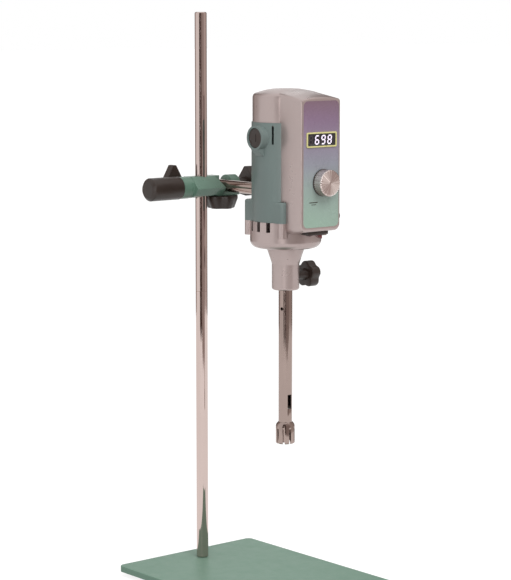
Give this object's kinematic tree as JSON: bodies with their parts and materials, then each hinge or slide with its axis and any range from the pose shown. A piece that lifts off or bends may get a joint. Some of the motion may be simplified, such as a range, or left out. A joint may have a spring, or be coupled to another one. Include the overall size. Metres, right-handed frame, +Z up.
{
  "type": "laboratory high shear mixer",
  "caption": "Rotor-stator mixer held by a clamp on a column stand, with a front panel, speed knob and removable dispersing tool.",
  "frame": {"origin": "centre of the base plate, at the bottom of the feet", "axes": "+Z up along the column, -Y the way the control panel faces, +X to the right of someone facing the panel's back"},
  "size_m": [0.23, 0.33, 0.754],
  "materials": {
    "plate_paint": "semi-gloss green-grey paint",
    "rubber": "matt",
    "chrome": "polished",
    "zinc_steel": "zinc plated",
    "brass": "turned",
    "clamp_paint": "green paint on a casting",
    "black_plastic": "moulded, slightly glossy",
    "shell_paint": "satin grey-green paint",
    "silver_paint": "fine metallic paint on a casting",
    "label": "film fading from violet to mint",
    "yellow_frame": "glossy",
    "dark_window": "glossy dark lens",
    "knob_metal": "spun face",
    "red_rocker": "glossy",
    "circuit_board": "lacquered",
    "board_parts": "mixed small parts",
    "lamination": "stacked sheet",
    "copper": "enamelled wire and bars",
    "ground_steel": "ground",
    "cast_bracket": "as cast",
    "fan_plastic": "moulded",
    "carbon": "pressed carbon",
    "tool_steel": "bright stainless",
    "bush_plastic": "plain"
  },
  "bodies": {
    "stand": {"base_plate": "plate_paint", "rubber_feet": "rubber", "foot_screws": "zinc_steel", "column_bolt": "zinc_steel", "column_washer": "zinc_steel"},
    "column": {"column": "chrome"},
    "clamp": {"clamp_body": "clamp_paint"},
    "handle": {"column_handle": "black_plastic", "column_handle_screw": "zinc_steel", "column_pad": "brass"},
    "lock": {"lock_knob": "black_plastic", "lock_screw": "zinc_steel"},
    "rod_wing": {"rod_wing_knob": "black_plastic", "rod_wing_screw": "zinc_steel"},
    "rod_rest": {"rod_rest_knob": "black_plastic", "rod_rest_screw": "zinc_steel"},
    "rod": {"support_rod": "chrome"},
    "mixer": {"motor_shell": "shell_paint", "control_housing": "silver_paint", "front_label": "label", "display_frame": "yellow_frame", "display_window": "dark_window", "display_module": "black_plastic", "control_board": "circuit_board", "board_parts": "board_parts", "board_posts": "board_parts", "potentiometer": "black_plastic", "switch_body": "black_plastic", "cable_gland": "black_plastic", "gland_nut": "black_plastic", "lower_end_cap": "silver_paint", "housing_screws": "zinc_steel", "tool_holder": "silver_paint", "motor_bearings": "ground_steel", "bearing_carrier": "cast_bracket", "stator_core": "lamination", "field_windings": "copper", "brush_holders": "black_plastic", "carbon_brushes": "carbon", "brush_springs": "zinc_steel", "brush_caps": "black_plastic", "rod_set_screw": "zinc_steel"},
    "tool_lock": {"holder_knob": "black_plastic", "holder_screw": "zinc_steel"},
    "speed_dial": {"speed_knob": "knob_metal", "knob_skirt": "black_plastic", "potentiometer_shaft": "zinc_steel"},
    "rocker": {"switch_rocker": "red_rocker"},
    "armature": {"armature_shaft": "ground_steel", "armature_core": "lamination", "armature_windings": "copper", "commutator": "copper", "cooling_fan": "fan_plastic", "drive_coupling": "ground_steel"},
    "tool": {"tool_tube": "tool_steel", "stator_head": "tool_steel", "spindle_bushes": "bush_plastic"},
    "spindle": {"drive_spindle": "ground_steel", "rotor_head": "tool_steel"}
  },
  "joints": [
    {"name": "column_turn", "type": "hinge", "parent": "stand", "child": "column", "pos_m": [0, 0.127, 0.5225], "axis": [0, 0, 1], "range_deg": [-120, 120]},
    {"name": "clamp_height", "type": "slide", "parent": "column", "child": "clamp", "axis": [0, 0, 1], "range_m": [-0.165, 0.21]},
    {"name": "column_handle_turn", "type": "hinge", "parent": "clamp", "child": "handle", "pos_m": [-0.06, 0.127, 0.5225], "axis": [-1, 0, 0], "range_deg": [0, 360]},
    {"name": "lock_knob_turn", "type": "hinge", "parent": "clamp", "child": "lock", "pos_m": [-0.031, 0.147, 0.5225], "axis": [0, 1, 0], "range_deg": [0, 360]},
    {"name": "rod_wing_turn", "type": "hinge", "parent": "clamp", "child": "rod_wing", "pos_m": [0.06, 0.127, 0.5225], "axis": [1, 0, 0], "range_deg": [0, 360]},
    {"name": "rod_rest_turn", "type": "hinge", "parent": "clamp", "child": "rod_rest", "pos_m": [0.034, 0.127, 0.5025], "axis": [0, 0, -1], "range_deg": [0, 360]},
    {"name": "rod_reach", "type": "slide", "parent": "clamp", "child": "rod", "axis": [0, -1, 0], "range_m": [-0.035, 0.025]},
    {"name": "mixer_roll", "type": "hinge", "parent": "rod", "child": "mixer", "pos_m": [0.034, 0.057, 0.5225], "axis": [0, -1, 0], "range_deg": [-90, 90]},
    {"name": "holder_knob_turn", "type": "hinge", "parent": "mixer", "child": "tool_lock", "pos_m": [0.069, -0.0065, 0.4117], "axis": [1, 0, 0], "range_deg": [0, 360]},
    {"name": "speed_knob_turn", "type": "hinge", "parent": "mixer", "child": "speed_dial", "pos_m": [0.037, -0.0815, 0.5385], "axis": [0, -1, 0], "range_deg": [-150, 150]},
    {"name": "switch_rock", "type": "hinge", "parent": "mixer", "child": "rocker", "pos_m": [0.034, -0.0635, 0.4725], "axis": [0, -1, 0], "range_deg": [0, 24]},
    {"name": "armature_spin", "type": "hinge", "parent": "mixer", "child": "armature", "pos_m": [0.034, -0.0065, 0.5225], "axis": [0, 0, 1], "continuous": true},
    {"name": "tool_release", "type": "slide", "parent": "mixer", "child": "tool", "axis": [0, 0, -1], "range_m": [0, 0.06]},
    {"name": "spindle_spin", "type": "hinge", "parent": "tool", "child": "spindle", "pos_m": [0.034, -0.0065, 0.3225], "axis": [0, 0, 1], "continuous": true}
  ],
  "couplings": [
    {"joint": "spindle_spin", "follows": "armature_spin", "ratio": 1}
  ]
}
